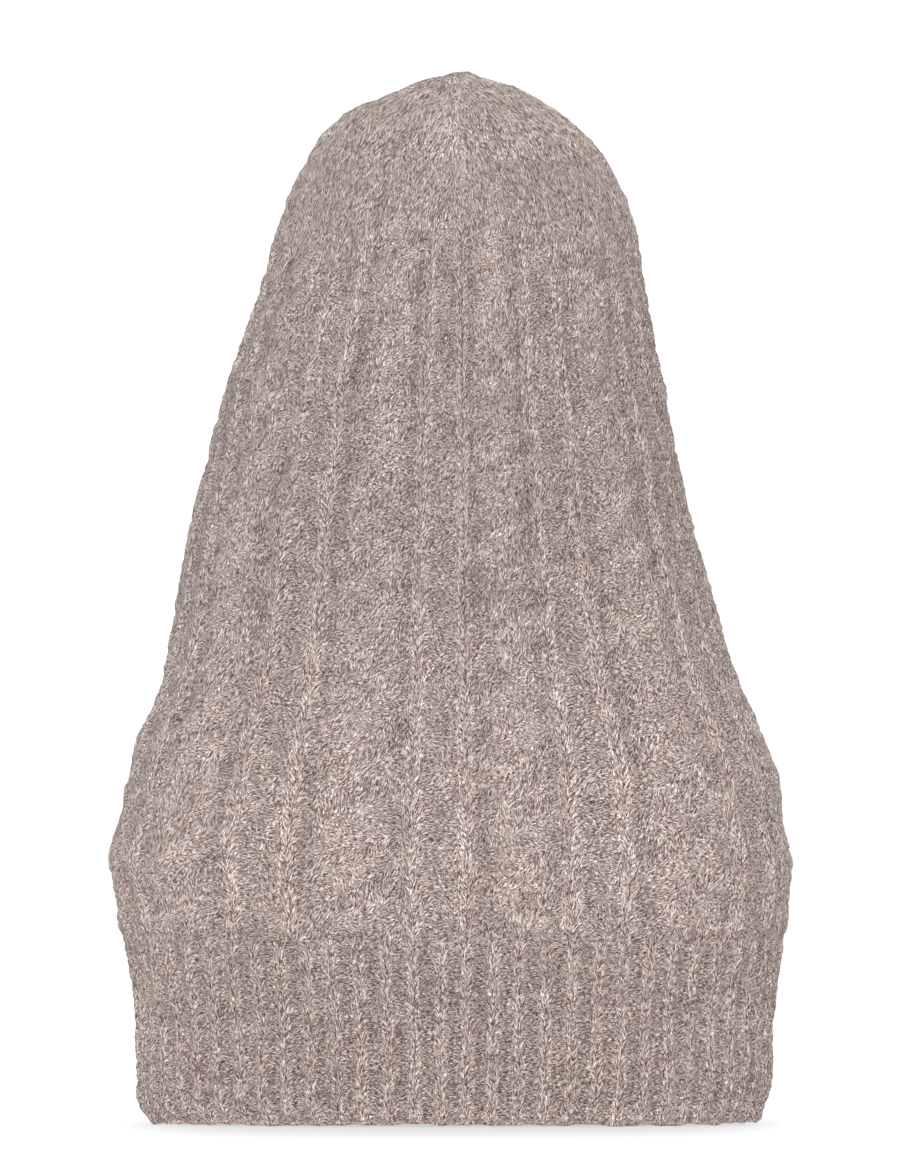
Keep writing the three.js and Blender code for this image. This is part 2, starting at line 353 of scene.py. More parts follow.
def joined_stitches(drop):
    """How many stitches of the chart have been knitted into one."""
    return 2.0 ** np.maximum(np.floor(crowding(drop)), 0)


def rope_turn(stitch, row):
    """Turns of the cable's rope at a place: it slants, and felting has made it uneven."""
    across = (stitch % REPEAT - CABLE_MIDDLE) / CABLE_HALF
    panel = np.floor(stitch / REPEAT)
    wander = 0.16 * np.sin(0.71 * row + 2.1 * panel) + 0.1 * np.sin(1.37 * row + 4.4 * panel)
    return row / CABLE_ROWS + 0.37 * panel - 0.42 * across + wander


def cloth_height(stitch, row, drop, turn, joined):
    """Height of the crown's and the hood's knit against the form."""
    place = stitch % REPEAT
    aside = rib_place(stitch)
    ridge = ridge_profile(np.abs(aside), RIB_HALF)
    legs = stitch_legs(aside / BROAD_RIB, row)
    across = np.clip(np.abs(place - CABLE_MIDDLE) / CABLE_HALF, 0, 1)
    swell = np.abs(np.cos(np.pi * rope_turn(stitch, row)))
    rope = (1 - across**2.5) * (0.3 + 0.7 * swell**0.8) * (place > CABLE_START)
    pits = np.exp(-((across - 0.95) / 0.22) ** 2) * (1 - swell) ** 2 * (place > CABLE_START - 0.5)
    purl_row = 0.5 + 0.5 * np.cos(FULL_TURN * row)
    bed = np.where(place < SECOND_RIB + 0.5, RIB_BED, CABLE_BED)
    bed = bed + 0.25 * purl_row * (1 - ridge) - PIT_DEPTH * pits
    deep = bed + np.maximum(RIB_HEIGHT * ridge, ROPE_HEIGHT * rope) + legs
    shared = stitch / joined
    halvings = crowding(drop)
    calm = np.where(halvings > 0.5, smooth_step(0.03, 0.2, np.abs(halvings - np.round(halvings))), 1)
    plain_legs = calm * stitch_legs(shared - np.round(shared), row / joined)
    soft = PLAIN_BED + 0.35 * ridge * smooth_step(12, 45, drop)
    soft = soft + 0.4 * plain_legs * smooth_step(4, 20, drop)
    soft = soft + CHEVRON_SWELL * np.exp(-((drop - cable_start(turn)) / 5) ** 2)
    cloth = soft + (deep - soft) * cable_strength(turn, drop)
    cloth = cloth + HEM_SWELL * np.exp(-((drop - HEM_DROP + 9) / 5) ** 2)
    return cloth + (HEM_JOIN - cloth) * smooth_step(HEM_DROP - 5, HEM_DROP, drop)


def crease_depth(drop, points):
    """How deep the crease lies at points of the form, on its back only."""
    down = (drop - CREASE_DROP) / CREASE_HALF_HEIGHT
    side = points[..., 0] / CREASE_HALF_WIDTH
    return np.where(points[..., 1] > 0, 0, CREASE_DEPTH * np.exp(-(down**2) - side**4))


# Making closed bodies

SHARP_ANGLE = math.radians(65)


def put_in_scene(name, data):
    made = bpy.data.objects.new(name, data)
    bpy.context.scene.collection.objects.link(made)
    return made


class Body:
    """Points, faces and knit coordinates of one piece, gathered in millimetres."""

    def __init__(self):
        self.points = []
        self.faces = []
        self.coords = []
        self.lays = []
        self.leans = []
        self.joined = []
        self.painted_lights = []
        self.looses = []
        self.outside = []
        self.count = 0

    def add(self, points, coords, lays, outside, leans=0.0, painted_lights=0.5, looses=0.5, joined=1.0):
        """Points with their knit coordinates, the nap's lay, lean and looseness, and painted light.

        Painted light is a share, from 0, painted shade deep in the relief, to 1, painted light on top
        of it.
        """
        shape = points.shape[:-1]
        total = int(np.prod(shape))
        ids = self.count + np.arange(total).reshape(shape)
        self.count += total
        self.points.append(points.reshape(-1, 3))
        self.coords.append(np.broadcast_to(coords, shape + (2,)).reshape(-1, 2))
        self.lays.append(np.broadcast_to(lays, shape + (3,)).reshape(-1, 3))
        self.leans.append(np.broadcast_to(leans, shape).reshape(-1))
        self.joined.append(np.broadcast_to(joined, shape).reshape(-1))
        self.painted_lights.append(np.broadcast_to(painted_lights, shape).reshape(-1))
        self.looses.append(np.broadcast_to(looses, shape).reshape(-1))
        self.outside.append(np.full(total, float(outside)))
        return ids

    def quads(self, grid, keep=None):
        """Faces between the rows of a grid of point numbers, closed round its columns."""
        right = np.roll(grid, -1, axis=1)
        faces = np.stack([grid[:-1], grid[1:], right[1:], right[:-1]], -1)
        if keep is not None:
            faces = faces[keep]
        self.faces.extend(faces.reshape(-1, 4).tolist())

    def zip_rings(self, first, second, first_places, second_places):
        """Triangles between two closed rings, matched by their places round the ring."""
        moves = [(place, 0, int(point)) for place, point in zip(first_places, first)]
        moves += [(place, 1, int(point)) for place, point in zip(second_places, second)]
        moves.sort()
        here = [0, 0]
        for _, ring, point in moves:
            here[ring] = point
        for _, ring, point in moves:
            self.faces.append((here[0], here[1], point))
            here[ring] = point

    def build(self, name):
        """One closed mesh, with what each point and face knows of its knit."""
        mesh = bpy.data.meshes.new(name)
        mesh.from_pydata(np.concatenate(self.points) * MM, [], self.faces)
        layer = mesh.attributes.new("lay", "FLOAT_VECTOR", "POINT")
        layer.data.foreach_set("vector", np.concatenate(self.lays).astype(np.float32).ravel())
        # The "rise" attribute carries the painted light and shade of the relief.
        numbers = {"outside": self.outside, "rise": self.painted_lights, "lean": self.leans,
                   "loose": self.looses}
        for label, values in numbers.items():
            layer = mesh.attributes.new(label, "FLOAT", "POINT")
            layer.data.foreach_set("value", np.concatenate(values).astype(np.float32))
        joined = np.concatenate(self.joined)
        layer = mesh.attributes.new("joined", "FLOAT", "FACE")
        layer.data.foreach_set("value", [joined[list(face)].max() for face in self.faces])
        self.unwrap(mesh)
        work = bmesh.new()
        work.from_mesh(mesh)
        stray = [vertex for vertex in work.verts if not vertex.link_faces]
        bmesh.ops.delete(work, geom=stray, context="VERTS")
        open_edges = [edge for edge in work.edges if edge.is_boundary]
        if open_edges:
            bmesh.ops.bridge_loops(work, edges=open_edges)
        bmesh.ops.recalc_face_normals(work, faces=work.faces)
        if work.calc_volume(signed=True) < 0:
            bmesh.ops.reverse_faces(work, faces=work.faces)
        work.to_mesh(mesh)
        work.free()
        mesh.shade_smooth()
        mesh.set_sharp_from_angle(angle=SHARP_ANGLE)
        return put_in_scene(name, mesh)

    def unwrap(self, mesh):
        """The knit map: stitches along U and rows along V, whole across the seam."""
        coords = np.concatenate(self.coords)
        corners = np.empty(len(mesh.loops), np.int32)
        mesh.loops.foreach_get("vertex_index", corners)
        starts = np.empty(len(mesh.polygons), np.int32)
        mesh.polygons.foreach_get("loop_start", starts)
        uv = coords[corners]
        highest = np.maximum.reduceat(uv[:, 0], starts)
        sizes = np.diff(np.append(starts, len(corners)))
        gap = np.repeat(highest, sizes) - uv[:, 0]
        uv[:, 0] += np.where(gap > STITCHES / 2, STITCHES, 0)
        knit = mesh.uv_layers.new(name="knit")
        knit.data.foreach_set("uv", uv.astype(np.float32).ravel())


def lay_direction(round_it, up_it, lean):
    """Direction in which the nap lies, lean being its angle from the upright."""
    return np.cos(lean)[..., None] * up_it + np.sin(lean)[..., None] * round_it


def cloth_lean(stitch, row, drop, turn, joined):
    """Fibres follow the legs of the rib stitches, lie across the purl, and wind with the rope."""
    place = stitch % REPEAT
    aside = rib_place(stitch)
    leg = np.sign(aside) * LEG_LEAN
    arc = np.pi / 2 + 0.4 * np.sin(FULL_TURN * row)
    rope = 0.9 + 0.65 * np.cos(FULL_TURN * rope_turn(stitch, row))
    on_cable = (place > 5.4) & (place < 11.6)
    knit = np.where(np.abs(aside) < 0.66 * BROAD_RIB, leg, np.where(on_cable, rope, arc))
    plain = np.sign(stitch / joined - np.round(stitch / joined)) * 0.5 * LEG_LEAN
    plain -= CHEVRON_LEAN * np.sign(np.cos(turn)) * np.sin(turn) ** 4
    return plain + (knit - plain) * cable_strength(turn, drop)


def in_face_oval(points):
    """Which points lie inside the oval that is cut for the face."""
    side = points[..., 0] / FACE_HALF_WIDTH
    level = (points[..., 2] - FACE_Z) / FACE_HALF_HEIGHT
    return (points[..., 1] > 0) & (side**2 + level**2 < 1)


def front_depth(x, z):
    """How far the front of the form stands out over a point of the XZ plane."""
    drop = WALL - z
    half = np.where(x > 0, reach("right", drop), reach("left", drop))
    share = np.clip(1 - np.abs(x / half) ** SQUARENESS, 0, 1)
    return reach("front", drop) * share ** (1 / SQUARENESS)


def cut_for_face(points, depth):
    """Faces kept outside the oval, and the points next to it drawn onto its edge."""
    inside = in_face_oval(points)
    corner = inside | np.roll(inside, -1, axis=1)
    keep = ~(corner[:-1] | corner[1:])
    lost = ~keep
    near = np.zeros(inside.shape, bool)
    near[:-1] |= lost
    near[1:] |= lost
    near[:-1] |= np.roll(lost, 1, axis=1)
    near[1:] |= np.roll(lost, 1, axis=1)
    edge = near & ~inside
    side = points[edge][:, 0] / FACE_HALF_WIDTH
    level = (points[edge][:, 2] - FACE_Z) / FACE_HALF_HEIGHT
    angle = np.arctan2(level, side)
    x = FACE_HALF_WIDTH * np.cos(angle)
    z = FACE_Z + FACE_HALF_HEIGHT * np.sin(angle)
    snapped = np.stack([x, front_depth(x, z) - depth, z], -1)
    moved = points.copy()
    moved[edge] = snapped
    return moved, keep


def column_stitches():
    """Where the mesh has its columns: six to a rib stitch, three to a cable's, two to the rest."""
    columns = []
    for stitch in WHOLE_STITCHES:
        place = stitch % REPEAT
        steps = 6 if place in (0, SECOND_RIB) else 3 if 6 <= place <= 11 else 2
        columns.extend(stitch - 0.5 + step / steps for step in range(steps))
    return np.array(columns)


class Cloth:
    """Points of the crown's and the hood's outside, over a grid of stitches and drops."""

    def __init__(self, stitch, drop):
        self.stitch, self.drop = np.meshgrid(stitch, drop)
        self.row = (RIM_DROP - self.drop) / ROW
        turns = turn_of_stitch(self.stitch)
        base = form_point(self.drop, turns)
        round_it, up_it, out = form_axes(self.drop, turns)
        self.joined = joined_stitches(self.drop)
        self.lift = cloth_height(self.stitch, self.row, self.drop, turns, self.joined)
        four_lines = np.abs(np.cos(2 * (turns + math.pi / 2))) ** 24
        self.lift += DECREASE_SWELL * four_lines * smooth_step(CROWN_DROP, CROWN_DROP - 8, self.drop)
        pleats = np.cos(NUB_PLEATS * turns) * np.exp(-((self.drop - 5) / 5) ** 2)
        height = self.lift + uneven(base) - crease_depth(self.drop, base) + 0.35 * pleats
        height *= smooth_step(-1, 6, self.drop)
        self.points = base + out * height[..., None]
        self.points[..., 2] += nub_height(base)
        aside = np.abs(rib_place(self.stitch))
        patterned = cable_strength(turns, self.drop)
        calm = np.maximum(ridge_profile(aside, RIB_HALF), 1 - patterned)
        # Painted shade deep in the relief and painted light on its tops, with more painted light along
        # the rib ladders.
        ladder = ridge_profile(aside, 0.8) * patterned
        self.rise = np.clip((self.lift + 1.9) / 3.2, 0, 1.1) + 0.11 * ladder
        self.loose = 1 - 0.75 * calm
        self.lean = cloth_lean(self.stitch, self.row, self.drop, turns, self.joined)
        self.lean += (0.5 - 0.4 * calm) * curls.at(base) + (0.2 - 0.12 * calm) * lumps.at(base)
        self.lay = lay_direction(round_it, up_it, self.lean)
        self.coords = np.stack([self.stitch, self.row], -1)
        self.base = base


def lining(stitch, drop, sink):
    """Points of the inside, sink millimetres under the form, with their knit coordinates."""
    stitches, drops = np.meshgrid(stitch, drop)
    turns = turn_of_stitch(stitches)
    base = form_point(drops, turns)
    up_it, out = form_axes(drops, turns)[1:]
    depth = sink + crease_depth(drops, base) - 0.5 * uneven(base) * smooth_step(0, 30, drops)
    rows = (RIM_DROP - drops) / ROW
    return base - out * depth[..., None], base, np.stack([stitches, rows], -1), up_it


def hood_piece():
    stitch = column_stitches()
    rings = round((HEM_DROP - CROWN_DROP) * RINGS_PER_ROW / ROW)
    cloth = Cloth(stitch, np.linspace(CROWN_DROP, HEM_DROP, rings + 1))
    # Both edges stay level, to meet the crown and the hem
    cloth.points[[0, -1], :, 2] = cloth.base[[0, -1], :, 2]
    outer, keep = cut_for_face(cloth.points, depth=1.5)
    body = Body()
    ids = body.add(outer, cloth.coords, cloth.lay, outside=1, leans=cloth.lean, painted_lights=cloth.rise,
                   looses=cloth.loose)
    body.quads(ids, keep=keep)

    inner_rings = round((HEM_DROP - CROWN_DROP) / ROW)
    drop_in = np.linspace(CROWN_DROP, HEM_DROP, inner_rings + 1)
    inner, base, coords, up_it = lining(WHOLE_STITCHES, drop_in, sink=WALL + 0.6)
    inner[[0, -1], :, 2] = base[[0, -1], :, 2]
    inner, keep_in = cut_for_face(inner, depth=8.5)
    ids_in = body.add(inner, coords, up_it, outside=0)
    body.quads(ids_in, keep=keep_in)
    body.zip_rings(ids[0], ids_in[0], stitch, WHOLE_STITCHES)
    body.zip_rings(ids[-1], ids_in[-1], stitch, WHOLE_STITCHES)
    return body.build("hood_knit")


def nub_height(points):
    away = np.hypot(points[..., 0] - NUB_ASIDE, points[..., 1])
    return NUB_HEIGHT * np.exp(-((away / NUB_SPREAD) ** 2))


def crown_drops(first, rings):
    """Drops of the crown's rings, closer together towards the top."""
    return CROWN_DROP * np.linspace(first, 1, rings) ** 1.7


def crown_piece():
    stitch = column_stitches()
    cloth = Cloth(stitch, crown_drops(first=0.04, rings=58))
    cloth.points[-1, :, 2] = cloth.base[-1, :, 2]
    body = Body()
    ids = body.add(cloth.points, cloth.coords, cloth.lay, outside=1, leans=cloth.lean,
                   painted_lights=cloth.rise, looses=cloth.loose, joined=cloth.joined)
    body.quads(ids)
    drop_in = crown_drops(first=0.07, rings=20)
    inner, base, coords, up_it = lining(WHOLE_STITCHES, drop_in, sink=WALL)
    inner[-1, :, 2] = base[-1, :, 2]
    ids_in = body.add(inner, coords, up_it, outside=0)
    body.quads(ids_in)
    body.zip_rings(ids[-1], ids_in[-1], stitch, WHOLE_STITCHES)
    upright = np.array([[0.0, 1.0, 0.0]])
    top = np.array([[0.0, 0.0, WALL]])
    top[:, 2] += nub_height(top)
    tip = int(body.add(top, np.zeros((1, 2)), upright, outside=1)[0])
    seat = int(body.add(np.zeros((1, 3)), np.zeros((1, 2)), upright, outside=0)[0])
    for pole, ring in ((tip, ids[0]), (seat, ids_in[0])):
        body.faces.extend((pole, int(a), int(b)) for a, b in zip(ring, np.roll(ring, -1)))
    return body.build("crown_knit")


def rib_side(stitch):
    """Place across a one-by-one rib, 0 on its knit stitch and 1 in the purl between two."""
    return (stitch + 1) % 2 - 1


def rib_height(stitch, row):
    side = rib_side(stitch)
    ridge = ridge_profile(np.abs(side), 0.8)
    purl_row = 0.25 * np.cos(FULL_TURN * row) * smooth_step(0.45, 0.7, np.abs(side))
    return HEM_BED + HEM_RIB_HEIGHT * ridge + stitch_legs(side / NARROW_RIB, row) + purl_row


def rib_painted_light(lift):
    """Painted light and shade on a rib by its height: painted shade low, painted light high."""
    return 0.73 * np.clip((lift + 2.2) / 2.1, 0, 1)


def rib_loose(stitch):
    return 0.15 + 0.85 * smooth_step(0.45, 0.62, np.abs(rib_side(stitch)))


def rib_lean(stitch, row):
    side = rib_side(stitch)
    arc = np.pi / 2 + 0.35 * np.sin(FULL_TURN * row)
    return np.where(np.abs(side) < 0.52, np.sign(side) * LEG_LEAN, arc)


def rib_columns(ribs):
    """Columns of a one-by-one rib: seven over each knit stitch and one in each purl."""
    knit = np.linspace(-0.57, 0.57, 7)
    return np.concatenate([2 * rib + np.append(knit, 1.0) for rib in range(ribs)])


def hem_piece():
    stitch = rib_columns(HEM_RIBS)
    turn = hem_girth.turn_at(hem_girth.total * stitch / STITCHES)
    turns, drops = np.meshgrid(turn, np.linspace(HEM_DROP, ROLL_START, HEM_RINGS))
    stitches = np.broadcast_to(stitch, drops.shape)
    rows = (RIM_DROP - drops) / ROW
    base = form_point(drops, turns)
    round_it, up_it, out = form_axes(drops, turns)
    ribbed = smooth_step(HEM_DROP, HEM_DROP + 5, drops)
    lift = HEM_JOIN + (rib_height(stitches, rows) - HEM_JOIN) * ribbed
    outer = base + out * (lift + uneven(base))[..., None]
    outer[0, :, 2] = base[0, :, 2]
    leans = rib_lean(stitches, rows) + 0.26 * curls.at(base)
    # Painted shade in the purl and painted light on the ridges, and painted light on the last rings
    # above the rolled edge, against the shade that falls under it.
    painted_lights = rib_painted_light(lift) + 0.45 * smooth_step(RIM_DROP - 14, RIM_DROP - 4, drops)
    lays = lay_direction(round_it, up_it, leans)
    body = Body()
    ids = body.add(outer, np.stack([stitches, rows], -1), lays, outside=1, leans=leans, painted_lights=painted_lights,
                   looses=rib_loose(stitches))
    body.quads(ids)

    # The bound-off edge rolls under
    last_base = form_point(ROLL_START, turn)
    last_out = form_axes(ROLL_START, turn)[2]
    ripple = 0.3 * np.cos(np.pi * stitch) + 0.5 * lumps.at(last_base) + 0.4 * big_folds.at(last_base)
    grid = [ids[-1]]
    for down, inward in ROLL_STEPS:
        side_height = (rib_height(stitch, 0) + uneven(last_base)) * (1 - inward / WALL)
        ring = last_base + last_out * (side_height - inward)[:, None]
        ring[:, 2] = last_base[:, 2] - down * (0.85 + 0.2 * ripple)
        coords = np.stack([stitch, np.full(len(stitch), -down / ROW)], -1)
        # The rolled edge is painted light, against the shade that falls under it.
        grid.append(body.add(ring, coords, lays[-1], outside=inward < 1, leans=leans[-1],
                             painted_lights=1.25, looses=0.9))
    drop_in = np.linspace(RIM_DROP - 3.4, HEM_DROP, 19)
    turns_in, drops_in = np.meshgrid(turn, drop_in)
    base_in = form_point(drops_in, turns_in)
    axes_in = form_axes(drops_in, turns_in)
    stitches_in = np.broadcast_to(stitch, drops_in.shape)
    depth = WALL + 0.5 * np.cos(np.pi * stitches_in)
    inner = base_in - axes_in[2] * depth[..., None]
    inner[-1, :, 2] = base_in[-1, :, 2]
    coords_in = np.stack([stitches_in, (RIM_DROP - drops_in) / ROW], -1)
    grid.extend(body.add(inner, coords_in, axes_in[1], outside=0))
    grid.append(ids[0])
    body.quads(np.stack(grid))
    return body.build("hem_rib_knit")


def band_piece():
    """The ribbed band round the face: ribs cross it, and its free edge is rolled."""
    stitch = rib_columns(BAND_RIBS)
    angle = FULL_TURN * stitch / (2 * BAND_RIBS)
    body = Body()
    grid = []
    for inward, depth, relief in BAND_ROWS:
        half_width = FACE_HALF_WIDTH - BAND_GAP - inward * BAND_SIDE
        half_height = FACE_HALF_HEIGHT - BAND_GAP - inward * BAND_END
        x = half_width * np.cos(angle)
        z = FACE_Z + half_height * np.sin(angle)
        step = 0.5
        slope_x = (front_depth(x + step, z) - front_depth(x - step, z)) / (2 * step)
        slope_z = (front_depth(x, z + step) - front_depth(x, z - step)) / (2 * step)
        steep = np.sqrt(1 + slope_x**2 + slope_z**2)
        row = np.full(len(stitch), inward * BAND_SIDE / ROW * BAND_ROW_SHARE)
        lift = (BAND_RELIEF * rib_height(stitch, row) + 1.0) * relief
        y = front_depth(x, z) - (depth - lift) * steep
        points = np.stack([x, y, z], -1)
        points[:, 1] += uneven(points) * smooth_step(5.4, 4, depth)
        outwards = unit(np.stack([np.cos(angle), 0 * angle, np.sin(angle)], -1))
        along = unit(np.stack([-np.sin(angle), 0 * angle, np.cos(angle)], -1))
        lean = rib_lean(stitch, row)
        lay = lay_direction(along, outwards, lean)
        coords = np.stack([stitch, row], -1)
        # The band's ribs get stronger painted light on their ridges and painted shade between them.
        grid.append(body.add(points, coords, lay, outside=depth < 4, leans=lean,
                             painted_lights=1.6 * rib_painted_light(lift) - 0.33, looses=rib_loose(stitch)))
    grid.append(grid[0])
    body.quads(np.stack(grid))
    return body.build("face_rib_knit")


# Node trees written as expressions


class Amount:
    """One socket that holds a number, to be used in sums."""

    def __init__(self, weaver, socket):
        self.weaver = weaver
        self.socket = socket

    def __add__(self, other):
        return self.weaver.sum_of("ADD", self, other)

    def __radd__(self, other):
        return self.weaver.sum_of("ADD", other, self)

    def __sub__(self, other):
        return self.weaver.sum_of("SUBTRACT", self, other)

    def __rsub__(self, other):
        return self.weaver.sum_of("SUBTRACT", other, self)

    def __mul__(self, other):
        return self.weaver.sum_of("MULTIPLY", self, other)

    def __rmul__(self, other):
        return self.weaver.sum_of("MULTIPLY", other, self)

    def __truediv__(self, other):
        return self.weaver.sum_of("DIVIDE", self, other)

    def __gt__(self, other):
        return self.weaver.sum_of("GREATER_THAN", self, other)

    def __lt__(self, other):
        return self.weaver.sum_of("LESS_THAN", self, other)


class Weaver:
    """Adds nodes to one tree, each by its kind, its settings and what feeds its sockets."""

    def __init__(self, tree):
        self.tree = tree
        tree.nodes.clear()

    def node(self, kind, settings=None, feeds=None):
        added = self.tree.nodes.new(kind)
        for label, value in (settings or {}).items():
            setattr(added, label, value)
        for label, value in (feeds or {}).items():
            self.feed(self.pick(added.inputs, label), value)
        return added

    def pick(self, sockets, label):
        if isinstance(label, int):
            return sockets[label]
        return next(socket for socket in sockets if socket.name == label and socket.enabled)

    def feed(self, socket, value):
        if isinstance(value, Amount):
            value = value.socket
        if isinstance(value, bpy.types.NodeSocket):
            self.tree.links.new(value, socket)
        else:
            socket.default_value = value

    def out(self, kind, label, settings=None, feeds=None):
        return Amount(self, self.pick(self.node(kind, settings, feeds).outputs, label))

    def sum_of(self, operation, first, second):
        return self.out("ShaderNodeMath", 0, {"operation": operation}, {0: first, 1: second})

    def only(self, operation, value):
        return self.out("ShaderNodeMath", 0, {"operation": operation}, {0: value})

    def between(self, value, low, high):
        """How far a value is on its way from low to high, eased at both ends."""
        feeds = {"Value": value, "From Min": low, "From Max": high}
        return self.out("ShaderNodeMapRange", "Result", {"interpolation_type": "SMOOTHSTEP"}, feeds)

    def blend(self, factor, first, second, blend_type="MIX"):
        """A colour between two colours."""
        settings = {"data_type": "RGBA", "blend_type": blend_type, "clamp_factor": True}
        feeds = {"Factor": factor, "A": first, "B": second}
        return self.out("ShaderNodeMix", "Result", settings, feeds)

    def vector(self, x, y, z):
        return self.out("ShaderNodeCombineXYZ", "Vector", None, {"X": x, "Y": y, "Z": z})

    def read(self, label):
        return self.out("ShaderNodeAttribute", "Fac", {"attribute_name": label})

    def noise(self, vector, scale, detail=2.0, roughness=0.5):
        feeds = {"Vector": vector, "Scale": scale, "Detail": detail, "Roughness": roughness}
        return self.out("ShaderNodeTexNoise", "Fac", None, feeds)


# Felted wool: five shades of fibre, blended in soft patches, with painted shade deep in the relief and
# painted light on top

CREAM = (0.57, 0.513, 0.466, 1)
PALE_GREY = (0.555, 0.521, 0.491, 1)
WARM_TAUPE = (0.452, 0.34, 0.292, 1)
COOL_GREY = (0.392, 0.326, 0.309, 1)
DARK_BROWN = (0.08, 0.034, 0.031, 1)
PATCH_SCALE = 130.0
CLOUD_SCALE = 22.0
LUMP_SCALE = 100.0
CLOUD_WEIGHT = 0.6
TINT_WEIGHT = 1.3
LOW_WEIGHT = 0.12
COOL_BELOW = 1.2
WARM_ABOVE = 1.82
DEEP_SHADE = 0.815
HIGH_SHADE = 1.255

# Painted light and shade in bands of the hood by height: gain, and the heights in metres where it
# starts and is full
PAINTED_LIGHT_BY_HEIGHT = (
    (0.07, -0.06, 0.0),
    (-0.08, -0.02, -0.1),
    (0.11, -0.15, -0.36),
    (0.03, -0.29, -0.32),
)


def wool_colour(weaver, place, tone, tint):
    """Colour of a fibre by its own tone, from 0, dark, to 1, pale, and by its tint."""
    patches = weaver.noise(place, PATCH_SCALE, detail=2.0, roughness=0.6)
    clouds = weaver.noise(place, CLOUD_SCALE, detail=1.0)
    height = weaver.out("ShaderNodeSeparateXYZ", "Z", None, {"Vector": place})
    lowness = weaver.between(height, -0.1, -0.36)
    mix = patches + CLOUD_WEIGHT * clouds + TINT_WEIGHT * tint + LOW_WEIGHT * lowness
    warmth = weaver.between(mix, COOL_BELOW, WARM_ABOVE)
    middle = weaver.blend(warmth, COOL_GREY, WARM_TAUPE)
    dark = weaver.blend(weaver.between(tone, 0.42, 0.1), middle, DARK_BROWN)
    pale = weaver.blend(warmth, PALE_GREY, CREAM)
    shade = weaver.blend(weaver.between(tone, 0.4, 1.0), dark, pale)
    # Painted shade deep in the relief and painted light on its tops, read from the rise attribute.
    light = DEEP_SHADE + (HIGH_SHADE - DEEP_SHADE) * weaver.read("rise")
    lump = weaver.noise(place, LUMP_SCALE, detail=2.0, roughness=0.75) - 0.5
    lumpy = 0.3 + 0.5 * weaver.read("loose") + 0.25 * weaver.between(height, -0.1, -0.06)
    light = light * (1 + lump * lumpy)
    # Painted light and shade by height
    for gain, start, full in PAINTED_LIGHT_BY_HEIGHT:
        light = light * (1 + gain * weaver.between(height, start, full))
    return weaver.blend(1.0, shade, weaver.vector(light, light, light), "MULTIPLY")


def wool_material(name, roughness):
    material = bpy.data.materials.new(name)
    material.use_nodes = True
    weaver = Weaver(material.node_tree)
    shader = weaver.node("ShaderNodeBsdfPrincipled", None, {
        "Roughness": roughness,
        "Specular IOR Level": 0.12,
        "Sheen Weight": 0.08,
        "Sheen Roughness": 0.5,
        "Sheen Tint": (0.95, 0.9, 0.87, 1),
    })
    place = weaver.out("ShaderNodeTexCoord", "Object")
    weaver.node("ShaderNodeOutputMaterial", None, {"Surface": shader.outputs[0]})
    return weaver, shader, place, material


STROKE_LEANS = [math.radians(angle) for angle in (-60, -30, 0, 30, 60, 90)]
STROKE_SCALE = 4.2
STROKE_STRETCH = 0.13
STROKE_LAYER = 9.0


def knit_wool():
    """The cloth under the nap, drawn with fine strokes that run along its fibres."""
    weaver, shader, place, material = wool_material("felted_wool", roughness=0.95)
    knit = weaver.out("ShaderNodeUVMap", "UV", {"uv_map": "knit"})
    parts = weaver.node("ShaderNodeSeparateXYZ", None, {"Vector": knit})
    side = Amount(weaver, parts.outputs["X"]) / weaver.read("joined") * STITCH
    rise = Amount(weaver, parts.outputs["Y"]) * ROW
    lean = weaver.read("lean")
    spread = 0.5 + 0.4 * weaver.read("loose")
    stroke = 0.5
    for number, angle in enumerate(STROKE_LEANS):
        across = side * math.cos(angle) - rise * math.sin(angle)
        along = side * math.sin(angle) + rise * math.cos(angle)
        grain = weaver.vector(across, STROKE_STRETCH * along, STROKE_LAYER * number)
        strokes = weaver.noise(grain, STROKE_SCALE, detail=1.0, roughness=0.7)
        miss = weaver.only("ABSOLUTE", weaver.only("SINE", lean - angle))
        stroke = stroke + (strokes - 0.5) * weaver.between(miss, spread, 0.0)
    stroke = weaver.between(stroke, 0.4, 0.6)
    tint = weaver.noise(weaver.vector(side, 0.4 * rise, 0.5), 1.6, detail=1.0, roughness=1.0)
    tone = 0.77 * stroke + 0.05
    weaver.feed(shader.inputs["Base Color"], wool_colour(weaver, place, tone, tint))
    bump = weaver.out("ShaderNodeBump", "Normal", None,
                      {"Strength": 0.8, "Distance": 0.8 * MM, "Height": stroke})
    weaver.feed(shader.inputs["Normal"], bump)
    return material


def nap_wool():
    """Loose fibres: each has a tone and a tint of its own."""
    weaver, shader, place, material = wool_material("wool_nap", roughness=0.9)
    tone = 0.02 + 0.94 * weaver.read("tone")
    tint = weaver.read("tint")
    weaver.feed(shader.inputs["Base Color"], wool_colour(weaver, place, tone, tint))
    return material


# The nap: short fibres laid along the stitches, and a few that stand up
# Its density is in fibres for each square metre, its sizes in millimetres

NAP_DENSITY = 705000
FRONT_SHARE = 0.42
FIBRE_LENGTH = 3.0
FIBRE_WIDTH = 0.26
STANDING_SHARE = 0.12


def fibre_object():
    """One fibre a metre long and wide, a slim closed diamond with a ridge on top."""
    mesh = bpy.data.meshes.new("wool_fibre")
    points = [(-0.5, 0, 0.25), (0.5, 0, 0.75), (0, -0.5, 0), (0, 0.5, 0)]
    faces = [(0, 2, 1), (0, 1, 3), (0, 3, 2), (1, 2, 3)]
    mesh.from_pydata(points, [], faces)
    mesh.shade_smooth()
    return bpy.data.objects.new("wool_fibre", mesh)


